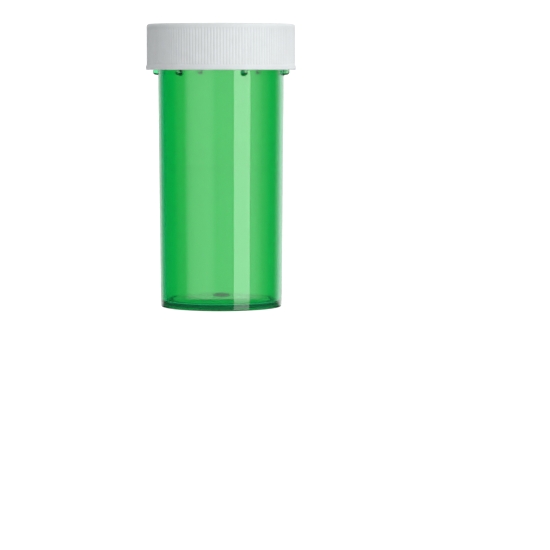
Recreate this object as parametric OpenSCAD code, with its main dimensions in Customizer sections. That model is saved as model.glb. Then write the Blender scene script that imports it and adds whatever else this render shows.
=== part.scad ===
// Push-down-and-turn medicine vial.
// Three pieces: a tinted clear vial with locking lugs moulded on its neck, a
// white cap with a ribbed skirt and matching lugs inside it, and a spring disc
// held in the cap, which seals the mouth and pushes the cap's lugs up into the
// notches of the vial's lugs.
// Millimetres, +Z up. The origin is the centre of the foot, and -Y is the front.

/* [Vial] */
// Height from the foot to the rim
vial_h = 70.3; // [55:0.1:110]
// Outer diameter at the foot
foot_d = 31.7; // [31:0.1:32.2]
// Outer diameter of the neck, above the tapered body
neck_d = 32.7; // [32.3:0.1:32.8]
// Thickness of the side wall
wall = 1.25; // [1:0.05:1.5]
// Thickness of the floor
floor_t = 0.8; // [0.7:0.05:1.2]
// Height of the floor's underside at its edge, above the foot
recess_edge_h = 0.7; // [0.4:0.05:1]
// Height of the floor's underside in the middle, above the foot
recess_mid_h = 1.75; // [1.2:0.05:2]
// Outer diameter of the recess inside the ring foot
recess_d = 28.2; // [27:0.1:28.6]
// Diameter of the floor's flat middle, which stands higher than its edge
middle_d = 17; // [12:0.5:20]
// Radius of the outer corner of the foot
foot_corner_r = 0.35; // [0.2:0.05:0.6]
// Radius between the side wall and the floor, inside
floor_fillet_r = 0.5; // [0.3:0.1:1]
// Diameter of the gate mark in the middle of the floor
gate_d = 4.4; // [3:0.1:6]
// Height of the gate mark's low dome, inside
gate_h = 0.8; // [0.3:0.05:1]
// Depth of the gate mark's hollow, underneath
gate_well_h = 0.25; // [0.1:0.05:0.4]

/* [Vial lugs] */
// Number of locking lugs
lugs = 6; // [6]
// Direction of the first lug's stop, degrees from +X
lug_phase = -9.3; // [-30:0.1:30]
// Diameter over the lugs
lug_d = 35.9; // [35:0.1:36]
// Width of the stop, the tall end of each lug
stop_w = 1.3; // [1.2:0.05:2]
// How far the stop's lower end is below the rim
stop_low = 10.1; // [9.5:0.1:12]
// Length of each lug round the neck
lug_len = 8.1; // [7.8:0.1:9]

/* [Cap] */
// Height of the cap
cap_h = 11.9; // [11.9:0.05:12.5]
// How far the cap's lower edge is below the vial's rim
cap_drop = 8.7; // [8.6:0.05:8.9]
// Diameter of the plain band under the top face
cap_d = 38.6; // [38.4:0.1:39]
// Diameter of the smooth band at the lower edge
band_d = 39.1; // [38.8:0.1:39.4]
// Height of the smooth band
band_h = 1.25; // [0.8:0.05:1.8]
// Inner diameter of the skirt
skirt_inner_d = 36.4; // [36.3:0.05:36.6]
// Thickness of the top
cap_top_t = 1.3; // [1:0.05:1.3]
// Radius of the top's outer edge
cap_edge_r = 0.8; // [0.4:0.05:1]
// Diameter of the shallow panel sunk into the top
panel_d = 33; // [28:0.5:34]
// Depth of the panel
panel_depth = 0.25; // [0.1:0.05:0.4]

/* [Grip ribs] */
// Number of fine ribs round the skirt
ribs = 152; // [120:1:180]
// Height of each rib above the skirt
rib_h = 0.22; // [0.1:0.02:0.3]
// Height of the plain band above the ribs, under the top face
plain_top_h = 1.05; // [1:0.05:1.5]

/* [Cap lugs] */
// Width of each lug inside the cap
cap_lug_w = 4; // [3.5:0.1:4.2]
// Height of each lug inside the cap
cap_lug_h = 1.8; // [1.5:0.05:1.9]
// Gap between the cap's lugs and the vial's neck
neck_gap = 0.3; // [0.2:0.05:0.4]

/* [Spring disc] */
// Outer diameter
disc_d = 35.5; // [35:0.1:36]
// Thickness of the flange, the web and the hub
disc_t = 0.6; // [0.4:0.05:0.7]
// Depth of the plug that seals the mouth
plug_depth = 3; // [2:0.1:4]
// Thickness of the plug
plug_t = 0.9; // [0.6:0.05:1.1]
// Diameter of the flat hub that bears on the cap
hub_d = 12; // [8:0.5:16]

/* [Hidden] */
$fn = 96;
ARC_STEPS = 4;

// Vial
foot_r = foot_d / 2;
neck_r = neck_d / 2;
mouth_r = neck_r - wall;
neck_start_z = vial_h - 13.5;
recess_r = recess_d / 2;
recess_slope = 0.4;
rim_round = 0.35;
gate_r = gate_d / 2;
gate_well_slope = 0.3;
middle_r = middle_d / 2;
floor_edge_z = recess_edge_h + floor_t;
floor_mid_z = recess_mid_h + floor_t;

// Vial lugs: the notch that holds the cap's lug lies between stop and hook
lug_r = lug_d / 2;
lug_root_r = neck_r - wall / 2;
stop_top = 3.3;
bar_top = 3.9;
notch_roof = 6.3;
hook_low = 7.4;
notch_play = 0.6;
ramp_len = 1.2;
lug_round = 0.8;
top_chamfer = 0.5;

// Cap
cap_z = vial_h - cap_drop;
cap_top_z = cap_z + cap_h;
ceiling_z = cap_top_z - cap_top_t;
rib_crest_r = cap_d / 2 - 0.04;
rib_root_r = rib_crest_r - rib_h;
skirt_r = rib_root_r - 0.15;
band_r = band_d / 2;
band_round = 0.3;
skirt_inner_r = skirt_inner_d / 2;
ceiling_chamfer = 0.4;
cap_lug_top_z = vial_h - notch_roof - 0.1;
cap_lug_r = neck_r + neck_gap;
cap_lug_angle = asin((stop_w + notch_play + cap_lug_w) / (cap_lug_r + lug_r));
bead_r = skirt_inner_r - 0.7;
bead_h = 0.6;

// Spring disc
disc_r = disc_d / 2;
plug_r = mouth_r - 0.05;
plug_lead = 0.4;
web_inner_r = hub_d / 2;
web_outer_r = plug_r - plug_t;
hub_gap = 0.05;
hub_top_z = ceiling_z - hub_gap;
flange_z = vial_h;

// Points on an arc about [x, y], from angle a0 to a1
function arc(x, y, r, a0, a1) =
    [for (i = [0:ARC_STEPS]) let (a = a0 + (a1 - a0) * i / ARC_STEPS) [x + r * cos(a), y + r * sin(a)]];

// Height of the gate mark's dome at radius r
function gate_dome(r) = gate_h * (1 - pow(r / gate_r, 2));

// Half section of the vial: underside, foot, outside, rim, inside, floor
vial_section = concat(
    [[0, recess_mid_h + gate_well_h], [gate_r - gate_well_slope, recess_mid_h + gate_well_h]],
    [[gate_r, recess_mid_h], [middle_r, recess_mid_h]],
    [[recess_r - recess_slope, recess_edge_h], [recess_r, 0]],
    arc(foot_r - foot_corner_r, foot_corner_r, foot_corner_r, -90, 0),
    [[neck_r, neck_start_z]],
    arc(neck_r - rim_round, vial_h - rim_round, rim_round, 0, 90),
    arc(mouth_r + rim_round, vial_h - rim_round, rim_round, 90, 180),
    [[mouth_r, neck_start_z]],
    arc(foot_r - wall - floor_fillet_r, floor_edge_z + floor_fillet_r, floor_fillet_r, 0, -90),
    [[middle_r, floor_mid_z]],
    [for (s = [ARC_STEPS:-1:0]) let (r = gate_r * s / ARC_STEPS) [r, floor_mid_z + gate_dome(r)]]
);

// Outline of a vial lug, looking at the neck: x runs round it, y is below the rim
lug_outline = let (
    stop_right = stop_w / 2,
    stop_left = -stop_w / 2,
    notch_end = stop_right + cap_lug_w + notch_play,
    lug_end = stop_left + lug_len
) [
    [stop_left, -stop_top],
    [stop_left, -stop_low + stop_w / 4],
    [stop_left + stop_w / 4, -stop_low],
    [stop_right - stop_w / 4, -stop_low],
    [stop_right, -stop_low + stop_w / 4],
    [stop_right, -notch_roof],
    [notch_end, -notch_roof],
    [notch_end, -hook_low],
    [lug_end - ramp_len, -hook_low],
    [lug_end, -hook_low + ramp_len],
    [lug_end, -bar_top],
    [stop_right, -bar_top],
    [stop_right, -stop_top]
];

// Half section of the space that the vial's lugs fill
lug_envelope = concat(
    [[lug_root_r, vial_h - stop_low]],
    arc(lug_r - lug_round, vial_h - stop_low + lug_round, lug_round, -90, 0),
    [[lug_r, vial_h - stop_top - top_chamfer], [lug_r - top_chamfer, vial_h - stop_top]],
    [[lug_root_r, vial_h - stop_top]]
);

// Half section of the cap without its ribs and lugs
cap_section = concat(
    [[0, cap_top_z - panel_depth], [panel_d / 2 - panel_depth, cap_top_z - panel_depth]],
    [[panel_d / 2, cap_top_z]],
    arc(cap_d / 2 - cap_edge_r, cap_top_z - cap_edge_r, cap_edge_r, 90, 0),
    [[cap_d / 2, cap_top_z - plain_top_h], [skirt_r, cap_top_z - plain_top_h]],
    [[skirt_r, cap_z + band_h], [cap_d / 2, cap_z + band_h]],
    [[band_r, cap_z + band_round], [band_r - band_round, cap_z]],
    [[skirt_inner_r, cap_z], [skirt_inner_r, flange_z - 0.1 - bead_h]],
    [[bead_r, flange_z - 0.1 - bead_h / 2], [skirt_inner_r, flange_z - 0.1]],
    [[skirt_inner_r, ceiling_z - ceiling_chamfer], [skirt_inner_r - ceiling_chamfer, ceiling_z]],
    [[0, ceiling_z]]
);

// Half section of the spring disc: flange, plug, domed web and flat hub
disc_section = [
    [0, hub_top_z - disc_t],
    [web_inner_r, hub_top_z - disc_t],
    [web_outer_r, flange_z],
    [web_outer_r, flange_z - plug_depth],
    [plug_r - plug_lead, flange_z - plug_depth],
    [plug_r, flange_z - plug_depth + plug_lead],
    [plug_r, flange_z],
    [disc_r, flange_z],
    [disc_r, flange_z + disc_t],
    [web_outer_r, flange_z + disc_t],
    [web_inner_r, hub_top_z],
    [0, hub_top_z]
];

// Stands a child's outline upright against the neck, once for each lug
module round_the_neck(first_angle, inner_r, outer_r) {
    for (i = [0:lugs - 1])
        rotate([0, 0, first_angle + i * 360 / lugs + 90])
            rotate([90, 0, 0])
                translate([0, 0, inner_r])
                    linear_extrude(outer_r - inner_r)
                        children();
}

module vial_lugs() {
    intersection() {
        rotate_extrude() polygon(lug_envelope);
        translate([0, 0, vial_h])
            round_the_neck(lug_phase, lug_root_r - 0.4, lug_r + 1)
                polygon(lug_outline);
    }
}

module vial() {
    color("#12a045") {
        rotate_extrude() polygon(vial_section);
        vial_lugs();
    }
}

// One closed band of pointed ribs
module grip_ribs() {
    points = [
        for (i = [0:2 * ribs - 1])
            let (r = i % 2 == 0 ? rib_crest_r : rib_root_r, a = i * 180 / ribs)
            [r * cos(a), r * sin(a)]
    ];
    translate([0, 0, cap_z + band_h / 2])
        difference() {
            linear_extrude(cap_h - band_h / 2 - plain_top_h / 2) polygon(points);
            translate([0, 0, -1]) cylinder(h = cap_h + 2, r = skirt_r - 0.2);
        }
}

module cap_lugs() {
    difference() {
        round_the_neck(lug_phase + cap_lug_angle, neck_r - 0.5, skirt_inner_r + 0.3)
            translate([-cap_lug_w / 2, cap_lug_top_z - cap_lug_h])
                square([cap_lug_w, cap_lug_h]);
        cylinder(h = vial_h, r = cap_lug_r);
    }
}

module cap() {
    color("#e6eae9") {
        rotate_extrude() polygon(cap_section);
        grip_ribs();
        cap_lugs();
    }
}

module spring_disc() {
    color("#dfe6dc") rotate_extrude() polygon(disc_section);
}

vial();
cap();
spring_disc();
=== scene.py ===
"""Push-down-and-turn medicine vial: pieces, materials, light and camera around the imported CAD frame."""

import math

import bpy
import numpy as np
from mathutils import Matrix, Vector


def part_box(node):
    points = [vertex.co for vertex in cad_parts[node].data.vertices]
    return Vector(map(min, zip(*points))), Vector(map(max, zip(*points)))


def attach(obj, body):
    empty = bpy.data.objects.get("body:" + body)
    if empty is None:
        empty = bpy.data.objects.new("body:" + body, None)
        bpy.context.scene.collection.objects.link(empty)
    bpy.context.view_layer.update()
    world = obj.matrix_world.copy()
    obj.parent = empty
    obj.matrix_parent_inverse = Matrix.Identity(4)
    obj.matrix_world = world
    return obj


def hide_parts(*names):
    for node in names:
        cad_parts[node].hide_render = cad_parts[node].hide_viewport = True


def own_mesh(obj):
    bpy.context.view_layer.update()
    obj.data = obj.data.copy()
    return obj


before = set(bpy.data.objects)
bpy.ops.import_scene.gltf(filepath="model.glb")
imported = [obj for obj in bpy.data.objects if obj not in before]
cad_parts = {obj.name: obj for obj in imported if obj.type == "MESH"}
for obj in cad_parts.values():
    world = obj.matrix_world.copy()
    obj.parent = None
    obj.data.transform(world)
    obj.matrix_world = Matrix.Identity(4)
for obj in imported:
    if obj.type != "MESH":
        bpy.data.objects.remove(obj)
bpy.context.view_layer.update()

MM = 0.001
SHARP_ANGLE = 50

# --- Sizes, in millimetres, from the frame ---------------------------------------------------------


def box_mm(node):
    """Lowest and highest corner of a CAD node, in millimetres."""
    low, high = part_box(node)
    return Vector(low) / MM, Vector(high) / MM


VIAL_LOW, VIAL_HIGH = box_mm("vial")
CAP_LOW, CAP_HIGH = box_mm("cap")
DISC_HIGH = box_mm("spring_disc")[1]

RIM_Z = VIAL_HIGH.z
LUG_R = VIAL_HIGH.x
CAP_Z = CAP_LOW.z
CAP_TOP_Z = CAP_HIGH.z
BAND_R = CAP_HIGH.x
DISC_R = DISC_HIGH.x
HUB_TOP_Z = DISC_HIGH.z

# The vial
FOOT_R = 15.85
NECK_R = 16.35
WALL = 1.25
NECK_START_Z = RIM_Z - 13.5
FLOOR_EDGE_Z = 1.5
FLOOR_MID_Z = 2.55
UNDER_EDGE_Z = 0.7
UNDER_MID_Z = 1.75
MIDDLE_R = 8.5
RECESS_R = 14.1
RECESS_SLOPE = 0.4
FOOT_CORNER_R = 0.35
FOOT_TUCK = 0.09  # the lowest TUCK_Z leans in by this, so that it reflects the darker part of the studio
TUCK_Z = 3.1
FLOOR_FILLET_R = 0.5
GATE_R = 2.2
GATE_H = 0.8
GATE_WELL_H = 0.25
GATE_MARK_R = 0.7
GATE_MARK_H = 0.2
RIM_ROUND = 0.35
NECK_ROW = 0.14  # between rings where the lugs are
LUG_STEPS, GAP_STEPS = 60, 22  # columns across a lug and across the gap to the next

# The vial's lugs. Heights are below the rim.
LUGS = 6
LUG_PHASE = -9.3
STOP_W = 1.3
STOP_LOW = 10.1
STOP_TOP = 3.3
BAR_TOP = 3.9
NOTCH_ROOF = 6.3
HOOK_LOW = 7.4
LUG_LEN = 8.1
NOTCH_W = 4.6
RAMP_LEN = 1.2
LUG_ROUND = 0.8
LUG_EDGE = 0.13
LUG_CORNER = 0.45

# The cap
CAP_R = 19.3
BAND_H = 1.25
RIBS = 152
RIB_STEPS = 8
RIB_DEPTH = 0.1
PLAIN_TOP_H = 1.05
CAP_EDGE_R = 0.8
BAND_EDGE_R = 0.35
CEILING_FILLET_R = 0.4
SKIRT_INNER_R = 18.2
CAP_TOP_T = 1.3
CEILING_Z = CAP_TOP_Z - CAP_TOP_T
PANEL_R = 16.5
PANEL_DEPTH = 0.25
CAP_LUG_W = 4.0
CAP_LUG_H = 1.8
CAP_LUG_R = 16.65
CAP_LUG_TOP = NOTCH_ROOF + 0.1
BEAD_R = 17.5
BEAD_H = 0.6
ARROWS = 3
ARROW_R = 11.6
ARROW_SWEEP = 62
ARROW_H = 0.16
ARROW_HALF_W, ARROW_HEAD_HALF_W, ARROW_HEAD_L = 0.7, 1.9, 2.4

# The spring disc
DISC_T = 0.6
PLUG_R = 15.05
PLUG_T = 0.9
PLUG_DEPTH = 3.0
HUB_R = 6.0
HUB_DISH = 0.12


# --- Meshes ------------------------------------------------------------------------------------------


def smooth(x):
    """Rises from 0 at x = 0 to 1 at x = 1, smoothly."""
    x = np.clip(x, 0, 1)
    return x * x * (3 - 2 * x)


def arc(x, y, r, start, end, steps=6):
    """Points on an arc about (x, y), from start to end degrees."""
    return [(x + r * math.cos(math.radians(a)), y + r * math.sin(math.radians(a)))
            for a in np.linspace(start, end, steps + 1)]


def solid(name, points, faces):
    """A piece with those points, in metres, shaded smooth except at its sharp edges."""
    mesh = bpy.data.meshes.new(name)
    mesh.from_pydata(np.asarray(points).tolist(), [], faces)
    mesh.polygons.foreach_set("use_smooth", [True] * len(mesh.polygons))
    mesh.set_sharp_from_angle(angle=math.radians(SHARP_ANGLE))
    piece = bpy.data.objects.new(name, mesh)
    bpy.context.collection.objects.link(piece)
    return piece


def revolve(name, radius, height, angles):
    """A closed surface of revolution. radius and height are arrays in millimetres with a row for each ring
    and a column for each angle in radians. The first and last rings have no radius and become a point."""
    rings, columns = radius.shape
    x = radius * np.cos(angles)
    y = radius * np.sin(angles)
    grid = np.stack([x, y, np.broadcast_to(height, radius.shape)], axis=-1)
    ends = [(0, 0, float(np.broadcast_to(height, radius.shape)[i, 0])) for i in (0, -1)]
    points = np.concatenate([np.array(ends), grid[1:-1].reshape(-1, 3)]) * MM

    def corner(ring, column):
        return 2 + (ring - 1) * columns + column % columns

    faces = []
    for j in range(columns):
        faces.append((0, corner(1, j + 1), corner(1, j)))
        faces.append((1, corner(rings - 2, j), corner(rings - 2, j + 1)))
        faces.extend((corner(i, j), corner(i, j + 1), corner(i + 1, j + 1), corner(i + 1, j))
                     for i in range(1, rings - 2))
    return solid(name, points, faces)


def outline_distance(points, x, y):
    """Distance from (x, y) to a closed outline, negative inside it."""
    nearest = np.full(np.shape(x), 1e9)
    inside = np.zeros(np.shape(x), dtype=bool)
    for (ax, ay), (bx, by) in zip(points, points[1:] + points[:1]):
        ex, ey = bx - ax, by - ay
        along = np.clip(((x - ax) * ex + (y - ay) * ey) / (ex * ex + ey * ey), 0, 1)
        nearest = np.minimum(nearest, np.hypot(x - ax - along * ex, y - ay - along * ey))
        if ay != by:
            crosses = ((ay > y) != (by > y)) & (x < (bx - ax) * (y - ay) / (by - ay) + ax)
            inside ^= crosses
    return np.where(inside, -nearest, nearest)


def round_the_neck(angles, first, radius):
    """Distance along the neck from the middle of the nearest lug, for each angle, at that radius."""
    pitch = 2 * math.pi / LUGS
    turned = np.mod(angles - math.radians(first) + pitch / 4, pitch) - pitch / 4
    return turned * radius


# --- The vial ----------------------------------------------------------------------------------------


def lug_outline():
    """Outline of a vial lug: x runs round the neck, y is measured up from the rim."""
    left, right = -STOP_W / 2, STOP_W / 2
    notch_end, lug_end = right + NOTCH_W, left + LUG_LEN
    return [
        (left, -STOP_TOP), (left, -STOP_LOW + STOP_W / 4), (left + STOP_W / 4, -STOP_LOW),
        (right - STOP_W / 4, -STOP_LOW), (right, -STOP_LOW + STOP_W / 4), (right, -NOTCH_ROOF),
        (notch_end, -NOTCH_ROOF), (notch_end, -HOOK_LOW), (lug_end - RAMP_LEN, -HOOK_LOW),
        (lug_end, -HOOK_LOW + RAMP_LEN), (lug_end, -BAR_TOP), (right, -BAR_TOP), (right, -STOP_TOP),
    ]


def lug_height(angles, z):
    """How far the lugs stand out of the neck, for each height and angle."""
    reach = LUG_R - NECK_R
    along = round_the_neck(angles, LUG_PHASE, (LUG_R + NECK_R) / 2)
    distance = outline_distance(lug_outline(), along[None, :] + 0 * z[:, None], z[:, None] - RIM_Z)
    inside = smooth(0.5 - distance / (2 * LUG_EDGE))
    near_edge = np.clip(LUG_CORNER + distance, 0, LUG_CORNER)
    corner = LUG_CORNER - np.sqrt(LUG_CORNER**2 - near_edge**2)
    above_low = np.clip(z - (RIM_Z - STOP_LOW), 0, LUG_ROUND)
    rounding = LUG_ROUND - np.sqrt(LUG_ROUND**2 - (LUG_ROUND - above_low) ** 2)
    return inside * np.clip(reach - rounding[:, None] - corner, 0.0, reach)


def neck_angles():
    """Angles round the vial, close together where the lugs are."""
    pitch = 2 * math.pi / LUGS
    fine = LUG_LEN + 2 * LUG_EDGE
    start = -(STOP_W / 2 + LUG_EDGE) / NECK_R
    end = start + fine / NECK_R
    one = np.concatenate([np.linspace(start, end, LUG_STEPS, endpoint=False),
                          np.linspace(end, start + pitch, GAP_STEPS, endpoint=False)])
    return np.concatenate([one + math.radians(LUG_PHASE) + i * pitch for i in range(LUGS)])


def make_vial():
    angles = neck_angles()
    inner_foot_r = FOOT_R - WALL
    mark = UNDER_MID_Z + GATE_WELL_H
    under = [(0, mark - GATE_MARK_H), (GATE_MARK_R - 0.15, mark - GATE_MARK_H), (GATE_MARK_R, mark)]
    under += [(GATE_R - 0.3, mark), (GATE_R, UNDER_MID_Z)]
    under += [(MIDDLE_R, UNDER_MID_Z), (MIDDLE_R + 0.4, UNDER_MID_Z - 0.05)]
    recess = RECESS_R - RECESS_SLOPE
    under += [(recess - 0.15, UNDER_EDGE_Z + 0.02), (recess, UNDER_EDGE_Z - 0.03)]
    under += [(RECESS_R - 0.05, 0.03), (RECESS_R + 0.12, 0)]
    foot = arc(FOOT_R - FOOT_TUCK - FOOT_CORNER_R, FOOT_CORNER_R, FOOT_CORNER_R, -90, 0)
    draft = (NECK_R - FOOT_R) / NECK_START_Z
    taper_z = (TUCK_Z, TUCK_Z + 0.15, *np.linspace(TUCK_Z, NECK_START_Z, 12)[1:])
    taper = [(FOOT_R + draft * z, z) for z in taper_z]
    lug_low, lug_high = RIM_Z - STOP_LOW - 2 * LUG_EDGE, RIM_Z - STOP_TOP + 2 * LUG_EDGE
    neck = [(NECK_R, z) for z in np.arange(lug_low, lug_high, NECK_ROW)]
    neck.append((NECK_R, lug_high))
    rim = arc(NECK_R - RIM_ROUND, RIM_Z - RIM_ROUND, RIM_ROUND, 0, 90)
    rim += arc(NECK_R - WALL + RIM_ROUND, RIM_Z - RIM_ROUND, RIM_ROUND, 90, 180)
    inside = [(NECK_R - WALL, NECK_START_Z)]
    fillet_z = FLOOR_EDGE_Z + FLOOR_FILLET_R
    inside += [(inner_foot_r + (NECK_R - FOOT_R) * s, fillet_z + (NECK_START_Z - fillet_z) * s)
               for s in np.linspace(1, 0, 12)[1:]]
    inside += arc(inner_foot_r - FLOOR_FILLET_R, fillet_z, FLOOR_FILLET_R, 0, -90)[1:]
    floor = [(MIDDLE_R + 0.3, FLOOR_MID_Z - 0.05), (MIDDLE_R, FLOOR_MID_Z)]
    floor += [(GATE_R * math.cos(a), FLOOR_MID_Z + GATE_H * math.sin(a))
              for a in np.radians(np.linspace(0, 90, 9))]
    section = np.array(under + foot + taper + neck + rim + inside + floor)
    radius = np.repeat(section[:, :1], len(angles), axis=1)
    first = len(under) + len(foot) + len(taper)
    rows = slice(first, first + len(neck))
    radius[rows] += lug_height(angles, section[rows, 1])
    return revolve("vial_body", radius, section[:, 1:], angles)


# --- The cap -----------------------------------------------------------------------------------------


def arrow_relief(radius, angles):
    """Height of the curved arrows moulded on the top, for each radius and angle."""
    pitch = 2 * math.pi / ARROWS
    turned = np.mod(angles, pitch)
    sweep = math.radians(ARROW_SWEEP)
    head = ARROW_HEAD_L / ARROW_R
    width, head_width = ARROW_HALF_W, ARROW_HEAD_HALF_W
    outline = [(0, -width), (sweep - head, -width), (sweep - head, -head_width), (sweep, 0),
               (sweep - head, head_width), (sweep - head, width), (0, width)]
    flat = [(a * ARROW_R, r) for a, r in outline]
    along = (turned - (pitch - sweep) / 2) * ARROW_R
    across = radius[:, None] - ARROW_R + 0 * along
    distance = outline_distance(flat, along[None, :] + 0 * across, across)
    return ARROW_H * smooth(0.5 - distance / 0.3)


def make_cap():
    columns = RIBS * RIB_STEPS
    angles = np.arange(columns) * 2 * math.pi / columns
    panel_z = CAP_TOP_Z - PANEL_DEPTH
    relief_r = np.linspace(ARROW_R - 2.3, ARROW_R + 2.3, 18)
    top = [(0, panel_z), (3, panel_z), (6, panel_z)] + [(r, panel_z) for r in relief_r]
    top += [(PANEL_R - 0.5, panel_z), (PANEL_R - 0.28, panel_z + 0.02), (PANEL_R - 0.05, CAP_TOP_Z - 0.02),
            (PANEL_R + 0.15, CAP_TOP_Z)]
    edge = arc(CAP_R - CAP_EDGE_R, CAP_TOP_Z - CAP_EDGE_R, CAP_EDGE_R, 90, 0, 7)
    rib_top, rib_low = CAP_TOP_Z - PLAIN_TOP_H, CAP_Z + BAND_H
    skirt = [(CAP_R, z) for z in (rib_top, rib_top - 0.15, rib_top - 0.35, rib_top - 0.6, rib_top - 1)]
    skirt += [(CAP_R, (rib_top + rib_low) / 2), (CAP_R, rib_low + 0.25), (CAP_R, rib_low + 0.1)]
    band = [(CAP_R + 0.02, rib_low), (BAND_R - 0.12, rib_low - 0.2), (BAND_R - 0.05, rib_low - 0.45)]
    band += arc(BAND_R - BAND_EDGE_R, CAP_Z + BAND_EDGE_R, BAND_EDGE_R, 0, -90, 5)
    lug_top, lug_low = RIM_Z - CAP_LUG_TOP, RIM_Z - CAP_LUG_TOP - CAP_LUG_H
    bead_top, bead_low = RIM_Z - 0.1, RIM_Z - 0.1 - BEAD_H
    inner_z = [CAP_Z + 0.25, lug_low, lug_low + 0.12, lug_low + 0.3, lug_top - 0.3, lug_top - 0.12, lug_top]
    inside = [(SKIRT_INNER_R + 0.25, CAP_Z)] + [(SKIRT_INNER_R, z) for z in inner_z]
    inside += [(SKIRT_INNER_R, bead_low), (BEAD_R + 0.1, bead_low + 0.2), (BEAD_R, (bead_low + bead_top) / 2),
               (BEAD_R + 0.1, bead_top - 0.2), (SKIRT_INNER_R, bead_top)]
    inside += arc(SKIRT_INNER_R - CEILING_FILLET_R, CEILING_Z - CEILING_FILLET_R, CEILING_FILLET_R, 0, 90, 4)
    inside += [(9, CEILING_Z), (0, CEILING_Z)]
    section = np.array(top + edge + skirt + band + inside)
    radius = np.repeat(section[:, :1], columns, axis=1)
    height = np.repeat(section[:, 1:], columns, axis=1)

    rows = slice(3, 3 + len(relief_r))
    height[rows] += arrow_relief(relief_r, angles)

    first = len(top) + len(edge)
    groove = RIB_DEPTH * np.sin(angles * RIBS / 2) ** 2
    ends = np.array([0, 0.25, 0.7, 0.95, 1, 1, 1, 0.8])
    radius[first : first + len(ends)] -= ends[:, None] * groove

    first += len(skirt) + len(band) + 2
    lug_angle = math.degrees(math.asin((STOP_W + NOTCH_W) / (CAP_LUG_R + LUG_R)))
    across = np.abs(round_the_neck(angles, LUG_PHASE + lug_angle, CAP_LUG_R))
    lug = smooth((CAP_LUG_W / 2 + 0.02 - across) / 0.15 + 0.5)
    share = np.array([0, 0.85, 1, 1, 0.85, 0])
    radius[first : first + len(share)] -= share[:, None] * lug * (SKIRT_INNER_R - CAP_LUG_R)
    return revolve("cap_shell", radius[::-1], height[::-1], angles)


# --- The spring disc -----------------------------------------------------------------------------------


def even_revolve(name, section, columns=192):
    """A plain closed surface of revolution from an outline that starts and ends on the axis."""
    section = np.array(section)
    angles = np.arange(columns) * 2 * math.pi / columns
    return revolve(name, np.repeat(section[:, :1], columns, axis=1), section[:, 1:], angles)


def make_disc_seal():
    """The flange that rests on the rim and the plug inside the mouth, in one ring."""
    inner = PLUG_R - PLUG_T
    low = RIM_Z - PLUG_DEPTH
    top = RIM_Z + DISC_T
    ring = [(inner, top - 0.08), (inner, low + 0.12), (inner + 0.12, low), (PLUG_R - 0.45, low),
            (PLUG_R - 0.1, low + 0.35), (PLUG_R, low + 0.7), (PLUG_R, RIM_Z - 0.12),
            (PLUG_R + 0.12, RIM_Z), (DISC_R - 0.15, RIM_Z), (DISC_R, RIM_Z + 0.15),
            (DISC_R, top - 0.15), (DISC_R - 0.15, top), (inner + 0.08, top)]
    return ring_revolve("disc_seal", ring)


def ring_revolve(name, outline, columns=192):
    """A ring: the closed outline, in millimetres, swept round the axis."""
    angles = np.arange(columns) * 2 * math.pi / columns
    section = np.array(outline)
    rings = len(section)
    grid = np.stack([np.outer(section[:, 0], np.cos(angles)), np.outer(section[:, 0], np.sin(angles)),
                     np.repeat(section[:, 1:], columns, axis=1)], axis=-1)
    faces = [(i * columns + j, i * columns + (j + 1) % columns,
              (i + 1) % rings * columns + (j + 1) % columns, (i + 1) % rings * columns + j)
             for i in range(rings) for j in range(columns)]
    return solid(name, grid.reshape(-1, 3) * MM, faces)


def make_disc_web():
    """The domed web and flat hub, which flatten when the cap is pushed down."""
    inner = PLUG_R - PLUG_T + 0.1
    hub = HUB_TOP_Z
    rise = hub - RIM_Z - DISC_T
    slope = [(HUB_R + (inner - HUB_R) * s, hub - rise * smooth(s)) for s in np.linspace(0.02, 1, 14)]
    section = [(r, hub - DISC_T) for r in (0, 1.5, HUB_R - 1)]
    section += [(r, z - DISC_T) for r, z in slope]
    section += [(r, z) for r, z in slope[::-1]]
    section += [(HUB_R - 1, hub), (HUB_R - 2, hub)]
    section += [(r, hub - HUB_DISH) for r in (HUB_R - 2.3, 1.5, 0)]
    return even_revolve("disc_web", section)


# --- Materials -----------------------------------------------------------------------------------------

# Green plastic
SURFACE_TINT = (0.07, 0.88, 0.28, 1)
CLEARNESS = 0.94
DYE_COLOR = (0.0, 0.76, 0.78, 1)
DYE_DENSITY = 900
UNDER_ROUGHNESS = 0.6
# Painted shade: the underside of the foot is given a darker, bluer green than the rest of the same plastic
UNDER_PAINTED_SHADE = (0.0, 0.52, 0.32, 1)
GATE_ROUGHNESS = 0.5
# Painted shade: the gate dome is given a much darker green than the rest of the same plastic
GATE_PAINTED_SHADE = (0.0, 0.18, 0.08, 1)


def material(name):
    """A new material with its node tree cleared, and its output node."""
    made = bpy.data.materials.new(name)
    made.use_nodes = True
    made.node_tree.nodes.clear()
    return made, made.node_tree.nodes.new("ShaderNodeOutputMaterial")


def node(tree, kind, inputs=None, **settings):
    """A node of that kind with its settings and its unlinked inputs set."""
    made = tree.nodes.new("ShaderNode" + kind)
    for key, value in settings.items():
        setattr(made, key, value)
    for key, value in (inputs or {}).items():
        made.inputs[key].default_value = value
    return made


def stretched(tree, scale):
    """Object coordinates in millimetres, scaled on each axis."""
    place = node(tree, "TexCoord")
    mapping = node(tree, "Mapping", {"Scale": [s / MM for s in scale]})
    tree.links.new(place.outputs["Object"], mapping.inputs["Vector"])
    return mapping.outputs["Vector"]


def noise(tree, scale, detail=3, roughness=0.5):
    """A noise pattern with that many waves for each millimetre on each axis."""
    made = node(tree, "TexNoise", {"Scale": 1.0, "Detail": detail, "Roughness": roughness})
    tree.links.new(stretched(tree, scale), made.inputs["Vector"])
    return made.outputs["Fac"]


def spread(tree, value, low, high, start=0.3, end=0.7):
    """Maps a pattern between start and end to low to high."""
    made = node(tree, "MapRange", {"From Min": start, "From Max": end, "To Min": low, "To Max": high})
    tree.links.new(value, made.inputs["Value"])
    return made.outputs["Result"]


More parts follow.
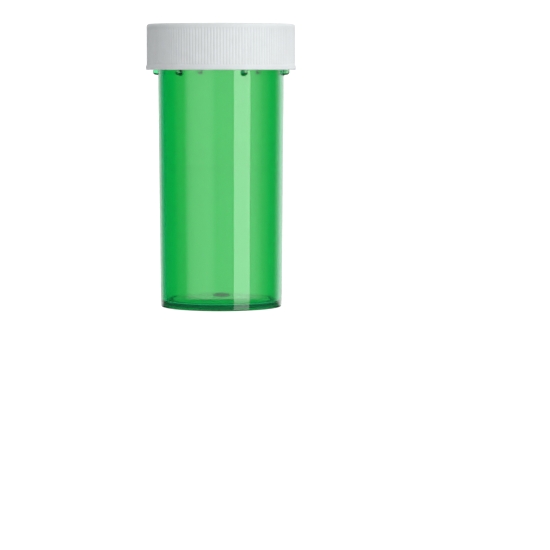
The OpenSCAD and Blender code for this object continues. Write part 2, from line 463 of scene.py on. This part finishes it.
def bump(tree, height, depth, strength=1.0, under=None):
    """A bump of that depth in millimetres, over another if given."""
    made = node(tree, "Bump", {"Strength": strength, "Distance": depth * MM})
    tree.links.new(height, made.inputs["Height"])
    if under is not None:
        tree.links.new(under, made.inputs["Normal"])
    return made.outputs["Normal"]


def near_axis(tree, radius, low, high):
    """1 within that radius of the axis and between those heights, in millimetres, and 0 elsewhere."""
    place = node(tree, "TexCoord")
    parts = node(tree, "SeparateXYZ")
    flat = node(tree, "CombineXYZ")
    from_axis = node(tree, "VectorMath", operation="LENGTH")
    inner = node(tree, "Math", {1: radius * MM}, operation="LESS_THAN")
    level = node(tree, "Math", {1: (low + high) / 2 * MM, 2: (high - low) / 2 * MM}, operation="COMPARE")
    both = node(tree, "Math", operation="MULTIPLY")
    tree.links.new(place.outputs["Object"], parts.inputs["Vector"])
    tree.links.new(parts.outputs["X"], flat.inputs["X"])
    tree.links.new(parts.outputs["Y"], flat.inputs["Y"])
    tree.links.new(flat.outputs["Vector"], from_axis.inputs[0])
    tree.links.new(from_axis.outputs["Value"], inner.inputs[0])
    tree.links.new(parts.outputs["Z"], level.inputs[0])
    tree.links.new(inner.outputs[0], both.inputs[0])
    tree.links.new(level.outputs[0], both.inputs[1])
    return both.outputs[0]


def where(tree, mask, inside, outside):
    """inside where the mask is 1 and outside where it is 0. Each is a number, a colour or a socket."""
    colour = isinstance(inside, tuple) or isinstance(outside, tuple)
    made = node(tree, "Mix", data_type="RGBA" if colour else "FLOAT")
    inputs = made.inputs[6:8] if colour else made.inputs[2:4]
    tree.links.new(mask, made.inputs[0])
    for socket, value in zip(inputs, (outside, inside)):
        if isinstance(value, (float, tuple)):
            socket.default_value = value
        else:
            tree.links.new(value, socket)
    return made.outputs[2 if colour else 0]


def green_plastic():
    """Clear emerald polypropylene: dye in the volume, flow waves and fine rub marks on the surface, and a
    matt finish on the underside and the gate. Painted shade: the underside is given a darker, bluer green
    and the gate a much darker green than the rest of the plastic."""
    made, out = material("green_plastic")
    tree = made.node_tree
    shader = node(tree, "BsdfPrincipled", {"IOR": 1.49, "Transmission Weight": CLEARNESS})
    waves = noise(tree, (0.10, 0.10, 0.02), detail=2)
    rubs = noise(tree, (2.5, 2.5, 0.12), detail=4, roughness=0.7)
    polish = spread(tree, rubs, 0.015, 0.06, 0.45, 0.8)
    under = near_axis(tree, RECESS_R - 0.3, -1, UNDER_MID_Z + 0.02)
    gate = near_axis(tree, GATE_R + 0.1, FLOOR_MID_Z + 0.02, FLOOR_MID_Z + 2)
    # Painted shade: darker greens on the gate and the underside than on the rest of the plastic
    tint = where(tree, gate, GATE_PAINTED_SHADE, where(tree, under, UNDER_PAINTED_SHADE, SURFACE_TINT))
    tree.links.new(tint, shader.inputs["Base Color"])
    matt = where(tree, gate, GATE_ROUGHNESS, where(tree, under, UNDER_ROUGHNESS, polish))
    tree.links.new(matt, shader.inputs["Roughness"])
    flow = bump(tree, waves, 0.05, 0.5)
    streaks = bump(tree, noise(tree, (0.45, 0.45, 0.008), detail=2), 0.006, 0.5, flow)
    tree.links.new(bump(tree, rubs, 0.0015, 0.5, streaks), shader.inputs["Normal"])
    tree.links.new(shader.outputs["BSDF"], out.inputs["Surface"])
    dye = node(tree, "VolumeAbsorption", {"Color": DYE_COLOR, "Density": DYE_DENSITY})
    tree.links.new(dye.outputs["Volume"], out.inputs["Volume"])
    return made


def white_plastic():
    """Opaque white polypropylene with a fine satin mould texture and faint handling marks."""
    made, out = material("white_plastic")
    tree = made.node_tree
    shader = node(tree, "BsdfPrincipled", {
        "IOR": 1.49, "Subsurface Weight": 0.15, "Subsurface Radius": (1.0, 0.95, 0.9),
        "Subsurface Scale": 0.6 * MM})
    grain = noise(tree, (9, 9, 9), detail=3)
    marks = noise(tree, (0.35, 0.35, 0.35), detail=5, roughness=0.65)
    tint = node(tree, "ValToRGB")
    tint.color_ramp.elements[0].color = (0.785, 0.815, 0.825, 1)
    tint.color_ramp.elements[1].color = (0.83, 0.86, 0.875, 1)
    tree.links.new(spread(tree, marks, 0, 1), tint.inputs["Fac"])
    tree.links.new(tint.outputs["Color"], shader.inputs["Base Color"])
    tree.links.new(spread(tree, marks, 0.44, 0.56), shader.inputs["Roughness"])
    tree.links.new(bump(tree, grain, 0.004, 0.6), shader.inputs["Normal"])
    tree.links.new(shader.outputs["BSDF"], out.inputs["Surface"])
    return made


def natural_plastic():
    """Milky undyed polyethylene."""
    made, out = material("natural_plastic")
    tree = made.node_tree
    shader = node(tree, "BsdfPrincipled", {
        "IOR": 1.51, "Subsurface Weight": 0.6, "Subsurface Radius": (1.0, 1.0, 0.95),
        "Subsurface Scale": 1.5 * MM})
    grain = noise(tree, (6, 6, 6), detail=3)
    cloud = noise(tree, (0.25, 0.25, 0.25), detail=3)
    tint = node(tree, "ValToRGB")
    tint.color_ramp.elements[0].color = (0.74, 0.76, 0.72, 1)
    tint.color_ramp.elements[1].color = (0.82, 0.84, 0.8, 1)
    tree.links.new(spread(tree, cloud, 0, 1), tint.inputs["Fac"])
    tree.links.new(tint.outputs["Color"], shader.inputs["Base Color"])
    tree.links.new(spread(tree, grain, 0.38, 0.5), shader.inputs["Roughness"])
    tree.links.new(bump(tree, grain, 0.003, 0.6), shader.inputs["Normal"])
    tree.links.new(shader.outputs["BSDF"], out.inputs["Surface"])
    return made




# --- Stage, camera and light -----------------------------------------------------------------------------

# The camera, in metres, millimetres of lens and degrees
CAMERA_DISTANCE = 0.678
CAMERA_LENS = 170.2
CAMERA_DOWN = 4.512
CAMERA_RIGHT = 1.185

# The floor, in metres
FLOOR_SIDES = 96
FLOOR_NEAR_R = 0.08
FLOOR_FADE = (0.25, 1.8)
FLOOR_GAP = 0.00005
FLOOR_GLOW = 0.95

# Studio brightness near the horizon: degrees from the side that the main view is on, positive to its right
STUDIO = [
    (-180, 1.0), (-152, 1.0), (-141, 0.3), (-130, 0.0), (-97, 0.0), (-90, 0.2), (-80, 0.4), (-72, 0.5),
    (-64, 2.1), (-55, 2.8), (-44, 3.1), (-26, 3.4), (-18, 3.1), (-9, 2.35), (12, 2.55), (55, 2.5),
    (64, 2.3), (73, 1.5), (82, 0.75), (92, 0.35), (103, 0.03), (118, 0.05), (128, 0.7), (143, 1.6),
    (160, 1.3), (180, 1.0),
]
STUDIO_PEAK = 4.0
# Brightness of the rest: below, above the horizon on each side, overhead, and of the backdrop
LOWER = 0.05
UPPER_LEFT, UPPER_RIGHT = 0.3, 1.25
OVERHEAD = 0.75
BACKDROP = 1.2
# Where the studio, the part above it and the part overhead fade in, as sines of the elevation
STUDIO_RISE = (-0.15, -0.12)
UPPER_RISE = (0.01, 0.05)
OVERHEAD_RISE = (0.5, 0.8)
KEY_AZIMUTH, KEY_DISTANCE, KEY_WIDTH = 38.5, 0.45, 0.25


def make_camera():
    """The view: level with the cap's lower edge, in front, with the vial left of the middle."""
    data = bpy.data.cameras.new("camera")
    data.sensor_width = 36
    data.lens = CAMERA_LENS
    camera = bpy.data.objects.new("camera", data)
    camera.location = (0, -CAMERA_DISTANCE, CAP_Z * MM)
    camera.rotation_euler = (math.radians(90 - CAMERA_DOWN), 0, math.radians(-CAMERA_RIGHT))
    bpy.context.collection.objects.link(camera)
    bpy.context.scene.camera = camera


def make_floor():
    """A pale floor like a light table, which fades into the backdrop and is clear from below. It isn't seen
    in reflections, so that the vial's sides reflect the studio, and only its middle lights the pieces."""
    made, out = material("floor")
    tree = made.node_tree
    shader = node(tree, "BsdfPrincipled", {
        "Base Color": (0.3, 0.3, 0.3, 1), "Roughness": 1.0, "Specular IOR Level": 0.0,
        "Emission Color": (1, 1, 1, 1), "Emission Strength": FLOOR_GLOW})
    clear = node(tree, "BsdfTransparent")
    place = node(tree, "TexCoord")
    distance = node(tree, "VectorMath", operation="LENGTH")
    tree.links.new(place.outputs["Object"], distance.inputs[0])
    fade = node(tree, "MapRange", {"From Min": FLOOR_FADE[0], "From Max": FLOOR_FADE[1]},
                interpolation_type="SMOOTHSTEP")
    tree.links.new(distance.outputs["Value"], fade.inputs["Value"])
    side = node(tree, "NewGeometry")
    unseen = node(tree, "Math", operation="MAXIMUM")
    tree.links.new(fade.outputs["Result"], unseen.inputs[0])
    tree.links.new(side.outputs["Backfacing"], unseen.inputs[1])
    mixed = node(tree, "MixShader")
    tree.links.new(unseen.outputs[0], mixed.inputs["Fac"])
    tree.links.new(shader.outputs["BSDF"], mixed.inputs[1])
    tree.links.new(clear.outputs["BSDF"], mixed.inputs[2])
    tree.links.new(mixed.outputs["Shader"], out.inputs["Surface"])

    sides = range(FLOOR_SIDES)
    angles = np.arange(FLOOR_SIDES) * 2 * math.pi / FLOOR_SIDES
    after = [(j + 1) % FLOOR_SIDES for j in sides]
    ring = np.stack([np.cos(angles), np.sin(angles), 0 * angles], axis=-1)
    for name, inner, outer in (("floor_near", 0, FLOOR_NEAR_R), ("floor_far", FLOOR_NEAR_R, FLOOR_FADE[1])):
        mesh = bpy.data.meshes.new(name)
        if inner:
            faces = [(j, after[j], FLOOR_SIDES + after[j], FLOOR_SIDES + j) for j in sides]
            mesh.from_pydata(np.concatenate([ring * outer, ring * inner]).tolist(), [], faces)
        else:
            mesh.from_pydata((ring * outer).tolist(), [], [tuple(sides)])
        piece = bpy.data.objects.new(name, mesh)
        piece.location.z = -FLOOR_GAP
        bpy.context.collection.objects.link(piece)
        mesh.materials.append(made)
        piece.visible_glossy = False
        piece.visible_diffuse = not inner


def make_world():
    """White behind everything, and for reflections and shading a studio that is dark at the sides."""
    world = bpy.data.worlds.new("studio")
    bpy.context.scene.world = world
    world.use_nodes = True
    tree = world.node_tree
    tree.nodes.clear()
    link = tree.links.new
    place = node(tree, "TexCoord")
    parts = node(tree, "SeparateXYZ")
    link(place.outputs["Generated"], parts.inputs["Vector"])
    flipped = node(tree, "Math", {1: -1.0}, operation="MULTIPLY")
    link(parts.outputs["Y"], flipped.inputs[0])
    azimuth = node(tree, "Math", operation="ARCTAN2")
    link(parts.outputs["X"], azimuth.inputs[0])
    link(flipped.outputs[0], azimuth.inputs[1])
    share = node(tree, "MapRange", {"From Min": -math.pi, "From Max": math.pi})
    link(azimuth.outputs[0], share.inputs["Value"])
    ramp = node(tree, "ValToRGB")
    stops = ramp.color_ramp
    while len(stops.elements) > 1:
        stops.elements.remove(stops.elements[0])
    for i, (degrees, bright) in enumerate(STUDIO):
        stop = stops.elements[0] if i == 0 else stops.elements.new((degrees + 180) / 360)
        stop.position = (degrees + 180) / 360
        stop.color = (*[bright / STUDIO_PEAK] * 3, 1)
    link(share.outputs[0], ramp.inputs["Fac"])
    level = node(tree, "Math", {1: STUDIO_PEAK}, operation="MULTIPLY")
    link(ramp.outputs["Color"], level.inputs[0])

    def rising(low, high):
        """0 below one height of the sky and 1 above another, as sines of the elevation."""
        made = node(tree, "MapRange", {"From Min": low, "From Max": high}, interpolation_type="SMOOTHSTEP")
        link(parts.outputs["Z"], made.inputs["Value"])
        return made.outputs["Result"]

    sky = where(tree, rising(*STUDIO_RISE), level.outputs[0], LOWER)
    upper = spread(tree, parts.outputs["X"], UPPER_LEFT, UPPER_RIGHT, -1, 1)
    sky = where(tree, rising(*UPPER_RISE), upper, sky)
    sky = where(tree, rising(*OVERHEAD_RISE), OVERHEAD, sky)
    path = node(tree, "LightPath")
    seen = node(tree, "Math", operation="MAXIMUM")
    link(path.outputs["Is Camera Ray"], seen.inputs[0])
    link(path.outputs["Is Transmission Ray"], seen.inputs[1])
    shader = node(tree, "Background", {"Color": (1, 1, 1, 1)})
    link(where(tree, seen.outputs[0], BACKDROP, sky), shader.inputs["Strength"])
    out = node(tree, "OutputWorld")
    link(shader.outputs[0], out.inputs["Surface"])


def softbox(name, azimuth, distance, width, low, high, brightness):
    """An upright area light at that azimuth, in degrees to the camera's right, facing the axis."""
    data = bpy.data.lights.new(name, "AREA")
    data.shape = "RECTANGLE"
    data.size, data.size_y = width, high - low
    data.energy = brightness * math.pi * width * (high - low)
    light = bpy.data.objects.new(name, data)
    a = math.radians(azimuth)
    light.location = (distance * math.sin(a), -distance * math.cos(a), (low + high) / 2)
    light.rotation_euler = (math.radians(90), 0, a)
    light.visible_camera = False
    light.visible_transmission = False
    bpy.context.collection.objects.link(light)


make_camera()
make_floor()
make_world()
softbox("key", KEY_AZIMUTH, KEY_DISTANCE, KEY_WIDTH, low=-0.07, high=0.10, brightness=4.6)
softbox("key_foot", KEY_AZIMUTH, KEY_DISTANCE, KEY_WIDTH, low=-0.16, high=-0.07, brightness=3.2)

bpy.context.scene.view_settings.view_transform = "Standard"

GREEN, WHITE, NATURAL = green_plastic(), white_plastic(), natural_plastic()
WEB = make_disc_web()
PIECES = [
    (make_vial(), GREEN, "vial", "vial", "green_plastic"),
    (make_cap(), WHITE, "cap", "cap", "white_plastic"),
    (make_disc_seal(), NATURAL, "spring_disc", "spring_disc", "natural_plastic"),
    (WEB, NATURAL, "spring_disc", "spring_disc", "natural_plastic"),
]
for piece, finish, body, cad_node, finish_slot in PIECES:
    piece.data.materials.append(finish)
    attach(piece, body)
    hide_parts(cad_node)
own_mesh(WEB)
